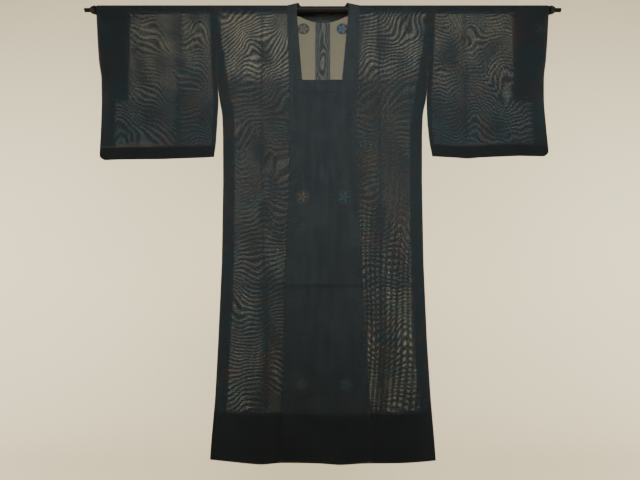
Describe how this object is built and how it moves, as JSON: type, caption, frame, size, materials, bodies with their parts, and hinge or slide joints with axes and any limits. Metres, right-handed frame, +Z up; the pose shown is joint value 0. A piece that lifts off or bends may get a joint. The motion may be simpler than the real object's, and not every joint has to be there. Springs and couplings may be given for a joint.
{
  "type": "michiyuki coat on a hanging rod",
  "caption": "Square-necked kimono coat in sheer dark cloth, hanging flat with its sleeves out on a straight black rod.",
  "frame": {"origin": "on the rod's axis, in the middle of the coat; the cloth hangs from the rod", "axes": "+X to the wearer's left along the rod, -Y out of the coat's front, +Z up"},
  "size_m": [1.412, 0.0311, 1.2996],
  "materials": {
    "sheer_cloth": "sheer dark blue-black gauze with small woven roundels",
    "doubled_cloth": "the same gauze, doubled",
    "facing_cloth": "the same gauze, turned in as a facing",
    "rod_enamel": "satin black enamel",
    "collar_metal": "worn dark enamel, ribbed"
  },
  "bodies": {
    "root": {"body_right": "sheer_cloth", "body_left": "sheer_cloth", "sleeve_right": "sheer_cloth", "sleeve_left": "sheer_cloth", "sleeve_facing_right": "facing_cloth", "sleeve_facing_left": "facing_cloth", "front_band_under": "doubled_cloth", "front_band_over": "doubled_cloth", "neck_band": "doubled_cloth", "neck_lining": "facing_cloth", "rod_tube": "rod_enamel", "rod_collar_right": "collar_metal", "rod_collar_left": "collar_metal", "rod_end_right": "rod_enamel", "rod_end_left": "rod_enamel"}
  },
  "joints": []
}
